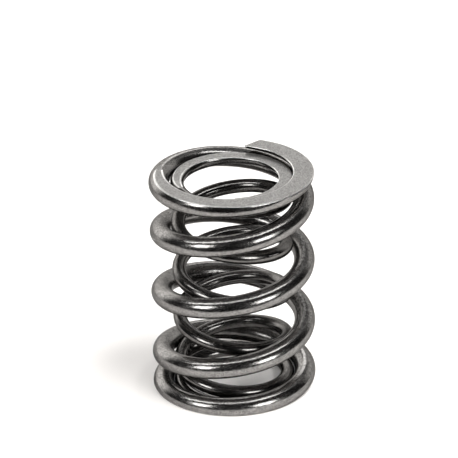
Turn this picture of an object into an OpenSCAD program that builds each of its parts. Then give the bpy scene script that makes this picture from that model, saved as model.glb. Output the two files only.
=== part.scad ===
/* [Outer spring] */
// Outside diameter of the outer spring
outer_od = 39.4; // [36:0.1:46]
// Wire diameter of the outer spring
outer_wire = 5.0; // [4:0.1:5.8]
// Free height of the outer spring, over its ground faces
outer_height = 55.4; // [50:0.1:70]
// Turns of wire in the outer spring, from tip to tip
outer_turns = 5; // [4.4:0.1:6]
// Turns wound closed at the lower end of the outer spring
outer_closed_low = 0.7; // [0.6:0.02:0.9]
// Turns wound closed at the upper end of the outer spring
outer_closed_high = 0.7; // [0.6:0.02:0.9]
// Steel left above the ground face at the outer spring's lower tip
outer_tip_low = 1.2; // [0.8:0.05:2]
// Steel left below the ground face at the outer spring's upper tip
outer_tip_high = 1.5; // [0.8:0.05:2]
// Bearing of the outer spring's upper tip, counted anticlockwise from the right
outer_bearing = 73; // [0:1:359]

/* [Inner spring] */
// Gap between the two springs, on the radius
fit_gap = 0.15; // [0.1:0.05:1]
// Wire diameter of the inner spring
inner_wire = 3.3; // [2.6:0.1:4.2]
// How much lower the top of the inner spring stands than that of the outer one
inner_step = 1.5; // [0:0.1:4]
// Turns of wire in the inner spring, from tip to tip
inner_turns = 6; // [5:0.1:7]
// Turns wound closed at the lower end of the inner spring
inner_closed_low = 0.72; // [0.6:0.02:0.9]
// Turns wound closed at the upper end of the inner spring
inner_closed_high = 0.64; // [0.6:0.02:0.9]
// Steel left at each of the inner spring's tips, under its ground faces
inner_tip = 0.95; // [0.6:0.05:1.4]
// Bearing of the inner spring's upper tip, counted anticlockwise from the right
inner_bearing = 277; // [0:1:359]

/* [Ends] */
// Turns over which the wire climbs from a closed end into the open coils
ramp_turns = 0.6; // [0.3:0.05:0.8]
// Gap between each tip and the coil beside it
tip_gap = 0.35; // [0.2:0.05:0.6]
// Slant of the sheared wire ends, away from a square cut
shear_angle = 32; // [0:1:40]

/* [Hidden] */

inner_od = outer_od - 2 * outer_wire - 2 * fit_gap;
inner_height = outer_height - inner_step;

// The outer spring is wound right-handed and the inner one left-handed, so their coils can't interlock
right_hand = 1;
left_hand = -1;

outer_steel = [0.56, 0.55, 0.53];
inner_steel = [0.50, 0.50, 0.49];
rings_per_turn = 40;
outer_sides = 16;
inner_sides = 14;

// How far a point x turns from the tip is along the ramp, from 0 to 1
function ramp_part(x, closed) = min(1, max(0, (x - closed) / ramp_turns));

// Share of the open coils' extra lead that the wire has x turns from the tip
function ramp_share(x, closed) =
    let (q = ramp_part(x, closed)) q * q * (3 - 2 * q);

// That share summed from the tip up to x turns
function ramp_sum(x, closed) =
    let (q = ramp_part(x, closed))
    ramp_turns * (pow(q, 3) - pow(q, 4) / 2) + max(0, x - closed - ramp_turns);

// A compression spring of round wire that stands on z = 0, with closed and ground ends
module coil_spring(wire, od, height, turns, hand, bearing, closed, tip, sides) {
    mean_r = (od - wire) / 2;
    mid = turns / 2;
    circle_length = 2 * PI * mean_r;

    // Heights of the wire's centre at its two tips: [lower, upper]
    ends = [tip[0] - wire / 2, height - tip[1] + wire / 2];

    // The first turn at each end climbs by one wire and the tip gap. The lead of the open coils
    // follows from the height that is left, and the lead of each closed end from both.
    first_turn = wire + tip_gap;
    sum_mid = [for (c = closed) ramp_sum(mid, c)];
    sum_one = [for (c = closed) ramp_sum(1, c)];
    flat_part = [for (i = [0, 1]) (mid - sum_mid[i]) / (1 - sum_one[i])];
    open_part = [for (i = [0, 1]) sum_mid[i] - sum_one[i] * flat_part[i]];
    open_lead = (ends[1] - ends[0] - first_turn * (flat_part[0] + flat_part[1]))
        / (open_part[0] + open_part[1]);
    closed_lead = [for (s = sum_one) (first_turn - open_lead * s) / (1 - s)];

    // Climb of the wire's centre over the x turns next to end i
    function climb(x, i) = closed_lead[i] * x + (open_lead - closed_lead[i]) * ramp_sum(x, closed[i]);
    function centre_z(t) = t < mid ? ends[0] + climb(t, 0) : ends[1] - climb(turns - t, 1);

    // Climb angle of the wire at t turns from the lower tip
    function lead_at(x, i) = closed_lead[i] + (open_lead - closed_lead[i]) * ramp_share(x, closed[i]);
    function climb_angle(t) = atan((t < mid ? lead_at(t, 0) : lead_at(turns - t, 1)) / circle_length);

    // A point on the wire's skin at t turns, a degrees round its section from the outside upwards
    function skin_point(t, a) =
        let (
            theta = bearing + hand * 360 * (t - turns),
            out = mean_r + wire / 2 * cos(a),
            back = hand * wire / 2 * sin(a) * sin(climb_angle(t))
        )
        [out * cos(theta) + back * sin(theta),
         out * sin(theta) - back * cos(theta),
         centre_z(t) + wire / 2 * sin(a) * cos(climb_angle(t))];

    // The sheared ends slant, so that the wire reaches furthest on the bore's side
    steps = ceil(turns * rings_per_turn);
    slant = wire / 2 * tan(shear_angle) / circle_length;
    function turn_at(i, a) =
        i == 0 ? slant * cos(a) : i == steps ? turns - slant * cos(a) : turns * i / steps;

    rings = [for (i = [0 : steps], j = [0 : sides - 1])
        let (a = 360 * j / sides) skin_point(turn_at(i, a), a)];
    function centre(t) = let (theta = bearing + hand * 360 * (t - turns))
        [mean_r * cos(theta), mean_r * sin(theta), centre_z(t)];
    lower_centre = len(rings);
    upper_centre = lower_centre + 1;

    function corner(i, j) = i * sides + j % sides;
    function facing_out(face) = hand == left_hand ? face : [face[0], face[2], face[1]];
    faces = [for (j = [0 : sides - 1]) each concat(
        [facing_out([lower_centre, corner(0, j), corner(0, j + 1)])],
        [facing_out([upper_centre, corner(steps, j + 1), corner(steps, j)])],
        [for (i = [0 : steps - 1]) each [
            facing_out([corner(i, j), corner(i + 1, j), corner(i + 1, j + 1)]),
            facing_out([corner(i, j), corner(i + 1, j + 1), corner(i, j + 1)])
        ]]
    )];

    // Grinding leaves what lies between the two flat faces
    intersection() {
        polyhedron(concat(rings, [centre(0), centre(turns)]), faces);
        translate([-od, -od, 0]) cube([2 * od, 2 * od, height]);
    }
}

module outer_spring() {
    color(outer_steel)
        coil_spring(outer_wire, outer_od, outer_height, outer_turns, right_hand, outer_bearing,
            [outer_closed_low, outer_closed_high], [outer_tip_low, outer_tip_high], outer_sides);
}

module inner_spring() {
    color(inner_steel)
        coil_spring(inner_wire, inner_od, inner_height, inner_turns, left_hand, inner_bearing,
            [inner_closed_low, inner_closed_high], [inner_tip, inner_tip], inner_sides);
}

outer_spring();
inner_spring();
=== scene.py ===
"""Dresses a nested pair of valve springs: swept wire with ground ends, steel finishes, floor, light and camera."""

import logging
import math
from dataclasses import dataclass
from enum import Enum
from functools import cached_property

import bmesh
import bpy
from mathutils import Matrix, Quaternion, Vector


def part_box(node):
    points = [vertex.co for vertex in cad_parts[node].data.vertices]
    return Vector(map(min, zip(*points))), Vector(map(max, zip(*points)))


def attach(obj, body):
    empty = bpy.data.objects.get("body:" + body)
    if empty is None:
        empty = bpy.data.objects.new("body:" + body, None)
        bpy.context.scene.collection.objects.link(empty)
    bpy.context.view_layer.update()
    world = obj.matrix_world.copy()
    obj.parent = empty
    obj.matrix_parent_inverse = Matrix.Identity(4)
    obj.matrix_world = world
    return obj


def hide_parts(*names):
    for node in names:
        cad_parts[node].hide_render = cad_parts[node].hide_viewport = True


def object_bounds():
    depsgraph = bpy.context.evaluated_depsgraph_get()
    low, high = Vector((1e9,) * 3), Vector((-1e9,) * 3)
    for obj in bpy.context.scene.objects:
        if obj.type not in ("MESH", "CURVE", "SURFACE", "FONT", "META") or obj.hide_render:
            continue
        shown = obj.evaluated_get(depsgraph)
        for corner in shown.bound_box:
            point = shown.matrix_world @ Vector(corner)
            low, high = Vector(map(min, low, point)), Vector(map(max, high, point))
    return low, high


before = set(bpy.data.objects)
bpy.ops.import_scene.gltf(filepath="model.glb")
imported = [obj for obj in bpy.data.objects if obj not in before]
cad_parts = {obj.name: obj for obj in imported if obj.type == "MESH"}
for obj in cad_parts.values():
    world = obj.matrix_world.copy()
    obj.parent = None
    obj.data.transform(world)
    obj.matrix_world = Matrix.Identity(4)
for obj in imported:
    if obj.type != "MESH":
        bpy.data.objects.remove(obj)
cad_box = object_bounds()

log = logging.getLogger("valve_springs")

MM = 0.001

# What both springs share at their ends, as in the part
RAMP_TURNS = 0.6
TIP_GAP = 0.35 * MM
SHEAR_ANGLE = math.radians(32)


class Hand(Enum):
    """The way a spring is wound."""

    RIGHT = 1
    LEFT = -1


class Skin(Enum):
    """The finishes of one spring, in the order of its mesh's material slots."""

    WIRE = 0
    GROUND = 1
    RIM = 2
    SHEARED = 3


def smooth_step(share: float) -> float:
    """Eases a share from 0 to 1, level at both ends.

    Args:
        share: Any number; below 0 counts as 0 and above 1 as 1.

    Returns:
        The eased share.
    """
    q = min(1.0, max(0.0, share))
    return q * q * (3 - 2 * q)


@dataclass(frozen=True)
class ClosedEnd:
    """One closed and ground end: the turns wound closed, and the steel left at the tip in metres."""

    closed: float
    tip: float

    def ramp_share(self, x: float) -> float:
        """Share of the open coils' extra lead that the wire has x turns from the tip."""
        return smooth_step((x - self.closed) / RAMP_TURNS)

    def ramp_sum(self, x: float) -> float:
        """That share summed from the tip up to x turns."""
        q = min(1.0, max(0.0, (x - self.closed) / RAMP_TURNS))
        return RAMP_TURNS * (q**3 - q**4 / 2) + max(0.0, x - self.closed - RAMP_TURNS)


@dataclass(frozen=True)
class Winding:
    """The line that a spring's wire follows. Lengths are in metres, and turns count from the lower tip."""

    wire: float
    outside: float
    height: float
    turns: float
    hand: Hand
    bearing: float
    lower: ClosedEnd
    upper: ClosedEnd

    @property
    def mean_radius(self) -> float:
        """Radius of the wire's centreline."""
        return (self.outside - self.wire) / 2

    @property
    def turn_length(self) -> float:
        """Length of one turn, seen from above."""
        return 2 * math.pi * self.mean_radius

    @cached_property
    def tip_heights(self) -> tuple[float, float]:
        """Heights of the wire's centre at the lower and the upper tip."""
        return self.lower.tip - self.wire / 2, self.height - self.upper.tip + self.wire / 2

    @cached_property
    def leads(self) -> tuple[float, float, float]:
        """Climb in a turn: closed at the lower end, closed at the upper end, and open."""
        ends = (self.lower, self.upper)
        mid = self.turns / 2
        first_turn = self.wire + TIP_GAP
        sum_mid = [end.ramp_sum(mid) for end in ends]
        sum_one = [end.ramp_sum(1) for end in ends]
        flat_part = [(mid - m) / (1 - s) for m, s in zip(sum_mid, sum_one)]
        open_part = [m - s * f for m, s, f in zip(sum_mid, sum_one, flat_part)]
        rise = self.tip_heights[1] - self.tip_heights[0] - first_turn * sum(flat_part)
        open_lead = rise / sum(open_part)
        closed = [(first_turn - open_lead * s) / (1 - s) for s in sum_one]
        return closed[0], closed[1], open_lead

    def centre_height(self, t: float) -> float:
        """Height of the wire's centre at t turns."""
        low_lead, high_lead, open_lead = self.leads
        if t < self.turns / 2:
            return self.tip_heights[0] + low_lead * t + (open_lead - low_lead) * self.lower.ramp_sum(t)
        x = self.turns - t
        return self.tip_heights[1] - high_lead * x - (open_lead - high_lead) * self.upper.ramp_sum(x)

    def climb_angle(self, t: float) -> float:
        """Angle at which the wire climbs at t turns."""
        low_lead, high_lead, open_lead = self.leads
        if t < self.turns / 2:
            lead = low_lead + (open_lead - low_lead) * self.lower.ramp_share(t)
        else:
            lead = high_lead + (open_lead - high_lead) * self.upper.ramp_share(self.turns - t)
        return math.atan(lead / self.turn_length)

    def section(self, t: float) -> Matrix:
        """Frame of the wire's section at t turns.

        Args:
            t: Turns from the lower tip.

        Returns:
            A matrix whose X points outwards, Y upwards across the wire, and Z along it.
        """
        theta = self.bearing + self.hand.value * 2 * math.pi * (t - self.turns)
        climb = self.climb_angle(t)
        outwards = Vector((math.cos(theta), math.sin(theta), 0))
        back = self.hand.value * math.sin(climb)
        upwards = Vector((back * math.sin(theta), -back * math.cos(theta), math.cos(climb)))
        made = Matrix((outwards, upwards, outwards.cross(upwards))).transposed().to_4x4()
        made.translation = outwards * self.mean_radius + Vector((0, 0, self.centre_height(t)))
        return made


@dataclass(frozen=True)
class WireMesh:
    """Sweeps, grinds and trims one spring's wire.

    The section's corners slide round it so that two of them run along the rims of each ground face,
    which keeps the rims clean. A share of the sides, GUIDE_SIDES, lies between the crest and each rim.
    """

    winding: Winding
    rings_per_turn: int
    sides: int
    rim: float

    GUIDE_SHARE = 1 / 8
    LEAST_RIM_ANGLE = math.radians(15)
    BEVEL_ANGLE = math.radians(16)
    RIM_SEGMENTS = 3
    STRAIGHT = "straight_wire"
    ON_PLANE = 1e-6

    @property
    def slant(self) -> float:
        """Turns by which the sheared end leans, at the wire's outer and inner side."""
        return self.winding.wire / 2 * math.tan(SHEAR_ANGLE) / self.winding.turn_length

    def skin_turn(self, t: float, outwards: float) -> float:
        """Turns at which a corner of ring t lies, since rings near the tips lean like the sheared ends.

        Args:
            t: Turns of the ring.
            outwards: Cosine of the corner's angle round the section, from the outside.

        Returns:
            The corner's own turns.
        """
        upper = t > self.winding.turns / 2
        to_tip = self.winding.turns - t if upper else t
        lean = self.slant * max(0.0, 1 - to_tip / (4 * self.slant)) * outwards
        return t - lean if upper else t + lean

    def guide_angle(self, t: float) -> float:
        """Angle between the wire's crest and the corner that follows a rim, at t turns.

        Args:
            t: Turns from the lower tip.

        Returns:
            The rim's own angle where the wire is ground, and else an angle that eases to the even one.
        """
        winding = self.winding
        centre = winding.centre_height(t)
        room = winding.height - centre if t > winding.turns / 2 else centre
        rise = room / (winding.wire / 2 * math.cos(winding.climb_angle(t)))
        start = math.cos(self.LEAST_RIM_ANGLE)
        if rise < start:
            return math.acos(max(-1.0, rise))
        even = 2 * math.pi * self.GUIDE_SHARE
        return self.LEAST_RIM_ANGLE + (even - self.LEAST_RIM_ANGLE) * smooth_step((rise - start) / 0.8)

    def rim_angle(self, t: float, side: int) -> float:
        """Guide angle of ring t on one side, found on the leaning ring.

        Args:
            t: Turns of the ring.
            side: 1 for the wire's outer side and -1 for its inner one.

        Returns:
            The angle from the crest.
        """
        angle = self.guide_angle(t)
        for _ in range(5):
            angle = self.guide_angle(self.skin_turn(t, side * math.sin(angle)))
        return angle

    def ring(self, t: float) -> list[tuple[Vector, Vector]]:
        """Corners of the ring at t turns.

        Args:
            t: Turns from the lower tip.

        Returns:
            For each corner its place, and its place on the wire when laid out straight.
        """
        crest = math.copysign(math.pi / 2, t - self.winding.turns / 2)
        even = 2 * math.pi * self.GUIDE_SHARE
        guides = {side: self.rim_angle(t, side) for side in (1, -1)}
        corners = []
        for j in range(self.sides):
            from_crest = (2 * math.pi * j / self.sides - crest + math.pi) % (2 * math.pi) - math.pi
            guide = guides[1 if from_crest * crest < 0 else -1]
            far = abs(from_crest)
            if far <= even:
                bent = far * guide / even
            else:
                bent = guide + (far - even) * (math.pi - guide) / (math.pi - even)
            angle = crest + math.copysign(bent, from_crest)
            turn = self.skin_turn(t, math.cos(angle))
            spot = self.winding.wire / 2 * Vector((math.cos(angle), math.sin(angle), 0))
            straight = spot + Vector((0, 0, turn * self.winding.turn_length))
            corners.append((self.winding.section(turn) @ spot, straight))
        return corners

    def sweep(self, bm: bmesh.types.BMesh) -> None:
        """Extrudes the section ring by ring from the lower tip to the upper one, and closes both ends.

        Args:
            bm: The empty mesh to fill.
        """
        straight = bm.verts.layers.float_vector.new(self.STRAIGHT)
        steps = math.ceil(self.winding.turns * self.rings_per_turn)
        ring = bmesh.ops.create_circle(bm, segments=self.sides, radius=self.winding.wire / 2)["verts"]
        first_edges = bm.edges[:]
        edges = first_edges
        self.lay(ring, 0.0, straight)
        for i in range(1, steps + 1):
            made = bmesh.ops.extrude_edge_only(bm, edges=edges)["geom"]
            fresh = {g for g in made if isinstance(g, bmesh.types.BMVert)}
            ring = [next(e.other_vert(v) for e in v.link_edges if e.other_vert(v) in fresh) for v in ring]
            edges = [g for g in made if isinstance(g, bmesh.types.BMEdge) and fresh.issuperset(g.verts)]
            self.lay(ring, self.winding.turns * i / steps, straight)
        self.close(bm, first_edges, Skin.SHEARED)
        self.close(bm, edges, Skin.SHEARED)

    def lay(self, ring: list, t: float, straight: bmesh.types.BMLayerItem) -> None:
        """Places a ring's vertices at t turns.

        Args:
            ring: The ring's vertices in order.
            t: Turns from the lower tip.
            straight: Layer that keeps each vertex's place on the straight wire.
        """
        for vert, (place, laid) in zip(ring, self.ring(t)):
            vert.co = place
            vert[straight] = laid

    def close(self, bm: bmesh.types.BMesh, edges: list, skin: Skin) -> None:
        """Fills a closed loop of edges with one face.

        Args:
            bm: The mesh.
            edges: The loop.
            skin: The finish of the new face.
        """
        for face in bmesh.ops.edgeloop_fill(bm, edges=edges)["faces"]:
            face.material_index = skin.value

    def grind(self, bm: bmesh.types.BMesh, level: float, upwards: int) -> None:
        """Cuts the wire at a level and leaves a flat face there.

        Args:
            bm: The mesh.
            level: Height of the ground face.
            upwards: 1 where the face looks up, and -1 where it looks down.
        """
        everything = bm.verts[:] + bm.edges[:] + bm.faces[:]
        bmesh.ops.bisect_plane(bm, geom=everything, dist=self.ON_PLANE, plane_co=(0, 0, level),
                               plane_no=(0, 0, upwards), clear_outer=True)
        rim = [e for e in bm.edges
               if e.is_boundary and all(abs(v.co.z - level) < 2 * self.ON_PLANE for v in e.verts)]
        self.close(bm, rim, Skin.GROUND)

    def round_rims(self, bm: bmesh.types.BMesh) -> None:
        """Breaks the edges of the ground and sheared faces.

        Args:
            bm: The mesh.
        """
        flat = (Skin.GROUND.value, Skin.SHEARED.value)
        sharp = [e for e in bm.edges if len(e.link_faces) == 2
                 and any(f.material_index in flat for f in e.link_faces)
                 and e.calc_face_angle(0) > self.BEVEL_ANGLE]
        made = bmesh.ops.bevel(bm, geom=sharp, offset=self.rim, offset_type="OFFSET", affect="EDGES",
                               segments=self.RIM_SEGMENTS, profile=0.5, material=-1, loop_slide=True,
                               clamp_overlap=False)
        for face in made["faces"]:
            face.material_index = Skin.RIM.value

    def build(self, name: str) -> bpy.types.Object:
        """Makes the finished wire.

        Args:
            name: Name of the piece.

        Returns:
            The object, at the origin and unturned.
        """
        bm = bmesh.new()
        self.sweep(bm)
        self.grind(bm, self.winding.height, 1)
        self.grind(bm, 0.0, -1)
        bmesh.ops.dissolve_degenerate(bm, dist=2 * self.ON_PLANE, edges=bm.edges)
        self.round_rims(bm)
        flat = [f for f in bm.faces if f.material_index in (Skin.GROUND.value, Skin.SHEARED.value)]
        bmesh.ops.triangulate(bm, faces=flat, quad_method="BEAUTY", ngon_method="BEAUTY")
        for face in bm.faces:
            face.smooth = face.material_index in (Skin.WIRE.value, Skin.RIM.value)
        bmesh.ops.recalc_face_normals(bm, faces=bm.faces)
        mesh = bpy.data.meshes.new(name)
        bm.to_mesh(mesh)
        bm.free()
        piece = bpy.data.objects.new(name, mesh)
        bpy.context.scene.collection.objects.link(piece)
        return piece


class Wiring:
    """Adds nodes to one node tree and joins their sockets."""

    def __init__(self, tree: bpy.types.NodeTree) -> None:
        """Starts on a tree.

        Args:
            tree: A material's, world's or group's node tree.
        """
        self.tree = tree

    def node(self, kind: str, inputs: dict | None = None, **settings) -> bpy.types.Node:
        """Adds a node.

        Args:
            kind: The node's type, without the leading ShaderNode.
            inputs: For each input, by name or number, a value or the socket that feeds it.
            settings: The node's own settings.

        Returns:
            The node.
        """
        made = self.tree.nodes.new(kind if kind.startswith("Node") else "ShaderNode" + kind)
        for key, value in settings.items():
            setattr(made, key, value)
        for key, value in (inputs or {}).items():
            self.feed(made.inputs[key], value)
        return made

    def feed(self, socket: bpy.types.NodeSocket, value) -> None:
        """Sets a socket, or links it.

        Args:
            socket: The input.
            value: A value, or the output socket that feeds it.
        """
        if isinstance(value, bpy.types.NodeSocket):
            self.tree.links.new(value, socket)
        else:
            socket.default_value = value

    def noise(self, vector: bpy.types.NodeSocket, scale, detail: float = 2.0, rough: float = 0.5) -> bpy.types.NodeSocket:
        """Value of a noise texture.

        Args:
            vector: Where it is read.
            scale: Features in a metre, as a number or a socket.
            detail: Octaves.
            rough: Share that each finer octave keeps.

        Returns:
            The value's socket.
        """
        inputs = {"Vector": vector, "Scale": scale, "Detail": detail, "Roughness": rough}
        return self.node("TexNoise", inputs).outputs[0]

    def maths(self, operation: str, a, b=0.0, clamp: bool = False) -> bpy.types.NodeSocket:
        """Result of a sum on two values or sockets."""
        return self.node("Math", {0: a, 1: b}, operation=operation, use_clamp=clamp).outputs[0]

    def remap(self, value, low: float, high: float, to_low: float = 0.0, to_high: float = 1.0) -> bpy.types.NodeSocket:
        """Eases a value from one range into another, held at both ends.

        Args:
            value: The socket to read.
            low: Value that gives to_low.
            high: Value that gives to_high.
            to_low: Start of the new range.
            to_high: End of the new range.

        Returns:
            The result's socket.
        """
        inputs = {"Value": value, "From Min": low, "From Max": high, "To Min": to_low, "To Max": to_high}
        return self.node("MapRange", inputs, interpolation_type="SMOOTHSTEP").outputs[0]

    def blend(self, share, a: tuple, b) -> bpy.types.NodeSocket:
        """Mixes two colours by a share.

        Args:
            share: The socket that goes from 0 to 1.
            a: Colour or socket at 0.
            b: Colour or socket at 1.

        Returns:
            The colour's socket.
        """
        made = self.node("Mix", {0: share}, data_type="RGBA")
        self.feed(made.inputs[6], a)
        self.feed(made.inputs[7], b)
        return made.outputs[2]


class EffectGroup:
    """A shader node group with named inputs and outputs, built once and used by several finishes."""

    def __init__(self, name: str, inputs: dict[str, str], outputs: dict[str, str]) -> None:
        """Makes the group's sockets.

        Args:
            name: The group's name.
            inputs: Socket type of each input, by name.
            outputs: Socket type of each output, by name.
        """
        self.tree = bpy.data.node_groups.new(name, "ShaderNodeTree")
        for label, kind in inputs.items():
            self.tree.interface.new_socket(label, in_out="INPUT", socket_type="NodeSocket" + kind)
        for label, kind in outputs.items():
            self.tree.interface.new_socket(label, in_out="OUTPUT", socket_type="NodeSocket" + kind)
        self.wiring = Wiring(self.tree)
        self.source = self.wiring.node("NodeGroupInput")
        self.target = self.wiring.node("NodeGroupOutput")

    def place(self, wiring: Wiring, inputs: dict) -> bpy.types.Node:
        """Puts the group into a material.

        Args:
            wiring: The material's tree.
            inputs: Values or sockets of the group's inputs, by name.

        Returns:
            The group node.
        """
        made = wiring.node("Group", node_tree=self.tree)
        for label, value in inputs.items():
            wiring.feed(made.inputs[label], value)
        return made


class PeenedSkin(EffectGroup):
    """Fine dimples of shot peening, with a slightly speckled tone."""

    def __init__(self) -> None:
        """Builds the group."""
        super().__init__("peened_skin", {"Vector": "Vector", "Dimples": "Float"},
                         {"Height": "Float", "Tone": "Float"})
        w, vector, dimples = self.wiring, self.source.outputs["Vector"], self.source.outputs["Dimples"]
        fine = w.noise(vector, dimples, 2.0, 0.5)
        dents = w.noise(vector, w.maths("MULTIPLY", dimples, 0.35), 1.0)
        w.feed(self.target.inputs["Height"], w.maths("ADD", fine, w.maths("MULTIPLY", dents, 0.25)))
        specks = w.noise(vector, w.maths("MULTIPLY", dimples, 1.3), 1.0)
        mottle = w.maths("ADD", w.maths("MULTIPLY", specks, 0.75), w.maths("MULTIPLY", dents, 0.25))
        w.feed(self.target.inputs["Tone"], w.remap(mottle, 0.36, 0.64))


class HandlingMarks(EffectGroup):
    """Sparse scratches along the wire and small pits, as masks."""

    def __init__(self) -> None:
        """Builds the group."""
        super().__init__("handling_marks", {"Vector": "Vector", "Spacing": "Float"},
                         {"Scratches": "Float", "Pits": "Float"})
        w, vector, spacing = self.wiring, self.source.outputs["Vector"], self.source.outputs["Spacing"]
        drawn = w.node("Mapping", {"Vector": vector, "Rotation": (0.12, 0.08, 0), "Scale": (6.0, 6.0, 0.6)}).outputs[0]
        hair = w.remap(w.noise(drawn, spacing, 0.0), 0.8, 0.85)
        patch = w.remap(w.noise(vector, w.maths("MULTIPLY", spacing, 0.25), 1.0), 0.5, 0.62)
        w.feed(self.target.inputs["Scratches"], w.maths("MULTIPLY", hair, patch))
        cells = w.node("TexVoronoi", {"Vector": vector, "Scale": spacing})
        spot = w.remap(cells.outputs["Distance"], 0.07, 0.02)
        chosen = w.remap(w.node("SeparateColor", {0: cells.outputs["Color"]}).outputs[0], 0.86, 0.88)
        w.feed(self.target.inputs["Pits"], w.maths("MULTIPLY", spot, chosen))


class GrindingGrain(EffectGroup):
    """Fine grain of a ground face."""

    def __init__(self) -> None:
        """Builds the group."""
        super().__init__("grinding_grain", {"Vector": "Vector", "Grain": "Float"},
                         {"Height": "Float", "Tone": "Float"})
        w, vector, grain = self.wiring, self.source.outputs["Vector"], self.source.outputs["Grain"]
        drawn = w.node("Mapping", {"Vector": vector, "Rotation": (0, 0, 0.9), "Scale": (1.0, 0.3, 1.0)}).outputs[0]
        lines = w.noise(drawn, grain, 3.0, 0.7)
        specks = w.noise(vector, grain, 2.0, 0.6)
        w.feed(self.target.inputs["Height"], w.maths("ADD", lines, specks))
        w.feed(self.target.inputs["Tone"], w.remap(specks, 0.36, 0.64))


@dataclass(frozen=True)
class Effects:
    """The node groups that the finishes share."""

    peened: PeenedSkin
    marks: HandlingMarks
    grain: GrindingGrain


Colour = tuple[float, float, float, float]


def grey(red: float, green: float, blue: float) -> Colour:
    """A solid colour from its linear parts."""
    return red, green, blue, 1.0


class SteelMaterial:
    """A bare metal material that a finish completes."""

    def __init__(self, name: str) -> None:
        """Makes the material with its shader, all metal.

        Args:
            name: The material's name.
        """
        self.material = bpy.data.materials.new(name)
        self.material.use_nodes = True
        self.material.node_tree.nodes.clear()
        self.wiring = Wiring(self.material.node_tree)
        self.shader = self.wiring.node("BsdfPrincipled", {"Metallic": 1.0, "Specular Tint": grey(0.35, 0.35, 0.35)})
        self.wiring.node("OutputMaterial", {"Surface": self.shader.outputs[0]})
        self.place = self.wiring.node("TexCoord").outputs["Object"]

    def feed(self, colour, roughness, height, depth: float, strength: float = 1.0) -> bpy.types.Material:
        """Completes the shader.

        Args:
            colour: Base colour or its socket.
            roughness: Roughness or its socket.
            height: Socket of the relief.
            depth: Depth of the relief in metres.
            strength: Strength of the bump.

        Returns:
            The finished material.
        """
        w = self.wiring
        bump = w.node("Bump", {"Strength": strength, "Distance": depth, "Height": height})
        w.feed(self.shader.inputs["Base Color"], colour)
        w.feed(self.shader.inputs["Roughness"], roughness)
        w.feed(self.shader.inputs["Normal"], bump.outputs[0])
        return self.material


@dataclass(frozen=True)
class WireFinish:
    """Polished and lightly peened spring wire."""

    name: str
    dark: Colour
    light: Colour
    smooth: float
    rough: float
    dimples: float
    depth: float

    def build(self, effects: Effects) -> bpy.types.Material:
        """Makes the material.

        Args:
            effects: The shared node groups.

        Returns:
            The material.
        """
        steel = SteelMaterial(self.name)
        w = steel.wiring
        peened = effects.peened.place(w, {"Vector": steel.place, "Dimples": self.dimples})
        straight = w.node("Attribute", attribute_name=WireMesh.STRAIGHT).outputs["Vector"]
        marks = effects.marks.place(w, {"Vector": straight, "Spacing": 400.0})
        tone = w.blend(peened.outputs["Tone"], self.dark, self.light)
        worn = w.blend(marks.outputs["Pits"], tone, grey(0.1, 0.095, 0.09))
        bright = w.blend(marks.outputs["Scratches"], worn, grey(0.75, 0.74, 0.72))
        roughness = w.remap(peened.outputs["Tone"], 0.0, 1.0, self.smooth, self.rough)
        scarred = w.maths("ADD", roughness, w.maths("MULTIPLY", marks.outputs["Scratches"], 0.2), clamp=True)
        height = w.maths("SUBTRACT", peened.outputs["Height"], w.maths("MULTIPLY", marks.outputs["Pits"], 0.8))
        return steel.feed(bright, scarred, height, self.depth)


@dataclass(frozen=True)
class GroundFinish:
    """Flat faces from a grinding wheel, matt and even."""

    name: str
    dark: Colour
    light: Colour
    roughness: float

    def build(self, effects: Effects) -> bpy.types.Material:
        """Makes the material.

        Args:
            effects: The shared node groups.

        Returns:
            The material.
        """
        steel = SteelMaterial(self.name)
        w = steel.wiring
        grain = effects.grain.place(w, {"Vector": steel.place, "Grain": 3200.0})
        tone = w.blend(grain.outputs["Tone"], self.dark, self.light)
        roughness = w.remap(grain.outputs["Tone"], 0.0, 1.0, self.roughness + 0.04, self.roughness - 0.04)
        return steel.feed(tone, roughness, grain.outputs["Height"], 0.008 * MM)


@dataclass(frozen=True)
class RimPaintedHighlightFinish:
    """Rounded edges of the ground faces, with a near-white colour that is a painted highlight along each rim."""

    name: str
    colour: Colour
    roughness: float

    def build(self, effects: Effects) -> bpy.types.Material:
        """Makes the material.

        Args:
            effects: The shared node groups.

        Returns:
            The material.
        """
        steel = SteelMaterial(self.name)
        w = steel.wiring
        grain = effects.grain.place(w, {"Vector": steel.place, "Grain": 1500.0})
        # The near-white colour, mottled by the grain, is the painted rim highlight.
        dull = tuple(0.75 * part for part in self.colour[:3]) + (1.0,)
        tone = w.blend(grain.outputs["Tone"], dull, self.colour)
        return steel.feed(tone, self.roughness, grain.outputs["Height"], 0.004 * MM)


@dataclass(frozen=True)
class ShearedFinish:
    """The torn, slightly blue face of a sheared wire end."""

    name: str
    smeared: Colour
    torn: Colour

    def build(self, effects: Effects) -> bpy.types.Material:
        """Makes the material.

        Args:
            effects: The shared node groups.

        Returns:
            The material.
        """
        steel = SteelMaterial(self.name)
        w = steel.wiring
        grain = effects.grain.place(w, {"Vector": steel.place, "Grain": 1800.0})
        tone = w.blend(grain.outputs["Tone"], self.torn, self.smeared)
        roughness = w.remap(grain.outputs["Tone"], 0.0, 1.0, 0.6, 0.4)
        return steel.feed(tone, roughness, grain.outputs["Height"], 0.05 * MM)


@dataclass(frozen=True)
class Spring:
    """One spring of the pair: its CAD node, its wire and its finishes."""

    node: str
    slot: str
    wire: WireMesh
    finishes: dict

    def build(self, effects: Effects) -> bpy.types.Object:
        """Makes the spring and lets it stand for its CAD node.

        Args:
            effects: The shared node groups.

        Returns:
            The finished piece.
        """
        piece = self.wire.build(self.node + "_wire")
        for skin in Skin:
            piece.data.materials.append(self.finishes[skin].build(effects))
        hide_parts(self.node)
        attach(piece, "root")
        triangles = sum(len(p.vertices) - 2 for p in piece.data.polygons)
        log.info("%s: %d triangles, %.1f turns", piece.name, triangles, self.wire.winding.turns)
        return piece


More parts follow.
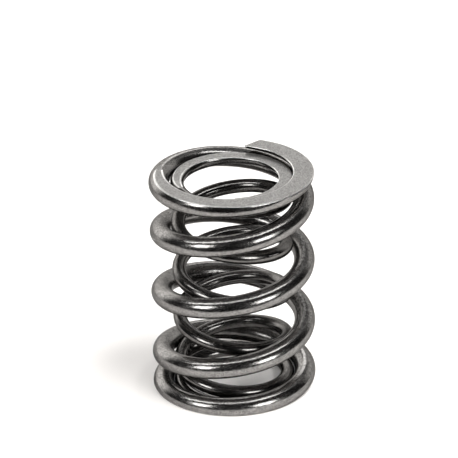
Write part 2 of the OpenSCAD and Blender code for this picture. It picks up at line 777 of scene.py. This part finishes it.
def finishes_for(name: str, dark: Colour, light: Colour, smooth: float, dimples: float) -> dict:
    """The four finishes of one spring.

    Args:
        name: Start of the materials' names.
        dark: Darker tone of the wire.
        light: Lighter tone of the wire.
        smooth: Least roughness of the wire.
        dimples: Peening dimples in a metre.

    Returns:
        A finish for each kind of skin.
    """
    return {
        Skin.WIRE: WireFinish(name + "_polished", dark, light, smooth, smooth + 0.07, dimples, 0.006 * MM),
        Skin.GROUND: GroundFinish(name + "_ground", grey(0.3, 0.293, 0.285), grey(0.51, 0.5, 0.487), 0.5),
        # The rims' near-white colour is a painted highlight along the edges of the ground faces.
        Skin.RIM: RimPaintedHighlightFinish(name + "_rim", grey(0.95, 0.94, 0.92), 0.33),
        Skin.SHEARED: ShearedFinish(name + "_sheared", grey(0.52, 0.54, 0.57), grey(0.2, 0.21, 0.23)),
    }


@dataclass
class SpringPair:
    """The nested pair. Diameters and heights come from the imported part, the wire's course from its design."""

    rings_per_turn: int = 120

    def outer(self) -> Spring:
        """The outer spring, wound right-handed."""
        low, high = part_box("outer_spring")
        winding = Winding(wire=5.0 * MM, outside=high.x - low.x, height=high.z, turns=5, hand=Hand.RIGHT,
                          bearing=math.radians(73), lower=ClosedEnd(0.7, 1.2 * MM), upper=ClosedEnd(0.7, 1.5 * MM))
        finishes = finishes_for("outer", grey(0.175, 0.17, 0.165), grey(0.37, 0.36, 0.349), 0.19, 2800.0)
        return Spring("outer_spring", "outer_steel",
                      WireMesh(winding, self.rings_per_turn, 48, 0.25 * MM), finishes)

    def inner(self) -> Spring:
        """The inner spring, wound left-handed, its wire darker than the outer's as painted shade."""
        low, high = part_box("inner_spring")
        winding = Winding(wire=3.3 * MM, outside=high.x - low.x, height=high.z, turns=6, hand=Hand.LEFT,
                          bearing=math.radians(277), lower=ClosedEnd(0.72, 0.95 * MM), upper=ClosedEnd(0.64, 0.95 * MM))
        # Darker wire tones than the outer spring's: painted shade for the wire lying inside the outer spring.
        finishes = finishes_for("inner", grey(0.11, 0.1065, 0.103), grey(0.225, 0.218, 0.211), 0.17, 3200.0)
        return Spring("inner_spring", "inner_steel",
                      WireMesh(winding, self.rings_per_turn, 40, 0.2 * MM), finishes)

    def build(self, effects: Effects) -> list[bpy.types.Object]:
        """Makes both springs.

        Args:
            effects: The shared node groups.

        Returns:
            The pieces.
        """
        return [spring.build(effects) for spring in (self.outer(), self.inner())]


@dataclass(frozen=True)
class PhotoCamera:
    """The photograph's viewpoint, as fitted to the springs' outlines."""

    frame_px: int = 458
    px_per_mm: float = 4.167
    distance: float = 0.9
    elevation: float = math.radians(26.5)
    roll: float = math.radians(-0.96)
    middle_px: tuple[float, float] = (232.37, 275.85)
    sensor_mm: float = 36.0

    def build(self, target: Vector) -> bpy.types.Object:
        """Makes the scene's camera.

        Args:
            target: The point that lies at middle_px in the photograph.

        Returns:
            The camera.
        """
        forwards = Vector((0, math.cos(self.elevation), -math.sin(self.elevation)))
        flat_right = Vector((1, 0, 0))
        flat_up = flat_right.cross(forwards)
        right = math.cos(self.roll) * flat_right + math.sin(self.roll) * flat_up
        up = math.cos(self.roll) * flat_up - math.sin(self.roll) * flat_right
        focal_px = self.px_per_mm * self.distance / MM
        centre_px = (self.frame_px - 1) / 2
        aside = (centre_px - self.middle_px[0]) / focal_px
        below = (centre_px - self.middle_px[1]) / focal_px
        aim = (forwards + aside * right - below * up).normalized()
        turn = forwards.rotation_difference(aim)
        right.rotate(turn)
        up.rotate(turn)
        made = Matrix((right, up, -aim)).transposed().to_4x4()
        made.translation = target - forwards * self.distance
        data = bpy.data.cameras.new("photo_camera")
        data.sensor_width = self.sensor_mm
        data.lens = self.sensor_mm * focal_px / self.frame_px
        data.clip_start, data.clip_end = 0.01, 20.0
        camera = bpy.data.objects.new("photo_camera", data)
        bpy.context.scene.collection.objects.link(camera)
        camera.matrix_world = made
        bpy.context.scene.camera = camera
        return camera


@dataclass(frozen=True)
class SoftLight:
    """One rectangular soft light that faces the springs."""

    name: str
    azimuth: float
    elevation: float
    distance: float
    width: float
    height: float
    radiance: float
    turn: float = 0.0
    in_reflections: bool = True
    on_floor: bool = True

    def build(self, target: Vector) -> bpy.types.Object:
        """Makes the light.

        Args:
            target: The point that it faces.

        Returns:
            The light.
        """
        around, over = math.radians(self.azimuth), math.radians(self.elevation)
        away = Vector((math.sin(around) * math.cos(over), -math.cos(around) * math.cos(over), math.sin(over)))
        data = bpy.data.lights.new(self.name, "AREA")
        data.shape = "RECTANGLE"
        data.size, data.size_y = self.width, self.height
        data.energy = self.radiance * math.pi * self.width * self.height
        light = bpy.data.objects.new(self.name, data)
        bpy.context.scene.collection.objects.link(light)
        light.location = target + away * self.distance
        in_plane = Quaternion((0, 0, 1), math.radians(self.turn))
        light.rotation_euler = (away.to_track_quat("Z", "Y") @ in_plane).to_euler()
        light.visible_camera = False
        light.visible_glossy = self.in_reflections
        light.visible_diffuse = self.on_floor
        return light


@dataclass(frozen=True)
class Studio:
    """White floor, soft lights and surroundings."""

    floor_side: float = 0.5
    floor_front: float = 0.08
    floor_back: float = 0.6
    floor_lift: float = 0.05

    def floor(self) -> bpy.types.Object:
        """Makes the white table top under the springs."""
        bm = bmesh.new()
        bmesh.ops.create_grid(bm, x_segments=1, y_segments=1, size=0.5)
        bmesh.ops.scale(bm, vec=(2 * self.floor_side, self.floor_front + self.floor_back, 1), verts=bm.verts)
        bmesh.ops.translate(bm, vec=(0, (self.floor_back - self.floor_front) / 2, 0), verts=bm.verts)
        mesh = bpy.data.meshes.new("floor")
        bm.to_mesh(mesh)
        bm.free()
        floor = bpy.data.objects.new("floor", mesh)
        bpy.context.scene.collection.objects.link(floor)
        material = bpy.data.materials.new("white_floor")
        material.use_nodes = True
        material.node_tree.nodes.clear()
        w = Wiring(material.node_tree)
        direct = w.node("LightPath").outputs["Is Camera Ray"]
        seen = w.maths("MULTIPLY", direct, self.floor_lift)
        white = w.blend(direct, grey(0.74, 0.725, 0.71), grey(0.93, 0.905, 0.88))
        shader = w.node("BsdfPrincipled", {"Base Color": white, "Roughness": 0.7,
                                           "Specular IOR Level": 0.2, "Emission Color": grey(1, 1, 1),
                                           "Emission Strength": seen})
        w.node("OutputMaterial", {"Surface": shader.outputs[0]})
        mesh.materials.append(material)
        return floor

    def surroundings(self) -> None:
        """Makes the world: white behind the springs, dark in front of them, and plain white to the camera."""
        world = bpy.data.worlds.new("studio")
        world.use_nodes = True
        world.node_tree.nodes.clear()
        bpy.context.scene.world = world
        w = Wiring(world.node_tree)
        ways = w.node("SeparateXYZ", {0: w.node("TexCoord").outputs["Generated"]}).outputs
        behind = w.remap(ways["Y"], 0.3, 0.7)
        low = w.remap(ways["Z"], 0.66, 0.4)
        aside = w.remap(ways["X"], 0.25, -0.35, 0.9, 2.2)
        glow = w.maths("MULTIPLY", w.maths("MULTIPLY", behind, low), aside)
        level = w.maths("ADD", glow, 0.01)
        seen = w.node("Background", {"Color": grey(1, 1, 1), "Strength": 1.05})
        lit = w.node("Background", {"Color": grey(1.0, 0.985, 0.965), "Strength": level})
        mixed = w.node("MixShader", {0: w.node("LightPath").outputs["Is Camera Ray"],
                                     1: lit.outputs[0], 2: seen.outputs[0]})
        w.node("OutputWorld", {"Surface": mixed.outputs[0]})

    def build(self, target: Vector) -> None:
        """Makes the whole studio.

        Args:
            target: Middle of the springs.
        """
        self.floor()
        self.surroundings()
        SoftLight("left_softbox", -52, 26, 0.6, 0.22, 0.2, 8.0).build(target)
        SoftLight("right_softbox", 39, 16, 0.6, 0.26, 0.22, 8.0).build(target)
        SoftLight("left_strip", -86, 54, 0.6, 0.27, 0.055, 9.0, turn=52).build(target)
        SoftLight("middle_strip", -27, 74, 0.6, 0.38, 0.055, 6.0, turn=21).build(target)
        SoftLight("right_strip", 76, 69, 0.6, 0.29, 0.055, 9.0, turn=-27).build(target)
        SoftLight("back_softbox", 178, 32, 0.6, 0.16, 0.14, 3.0, on_floor=False).build(target)
        SoftLight("high_panel", 180, 62, 0.8, 1.3, 0.5, 0.25).build(target)
        SoftLight("table_light", 70, 60, 0.8, 0.6, 0.6, 6.4, in_reflections=False).build(target)
        SoftLight("ceiling_panel", 0, 90, 1.0, 1.6, 1.6, 0.5, in_reflections=False).build(target)
        view = bpy.context.scene.view_settings
        view.view_transform = "Standard"
        view.look = "None"


def main() -> None:
    """Builds the camera, the springs and the studio, and reports each piece."""
    logging.basicConfig(level=logging.INFO, format="%(name)s %(message)s")
    low, high = cad_box
    middle = Vector((0, 0, high.z / 2))
    PhotoCamera().build(middle)
    effects = Effects(PeenedSkin(), HandlingMarks(), GrindingGrain())
    for piece in SpringPair().build(effects):
        log.info("%s is %.1f mm high", piece.name, piece.dimensions.z / MM)
    Studio().build(middle)


if __name__ == "__main__":
    main()
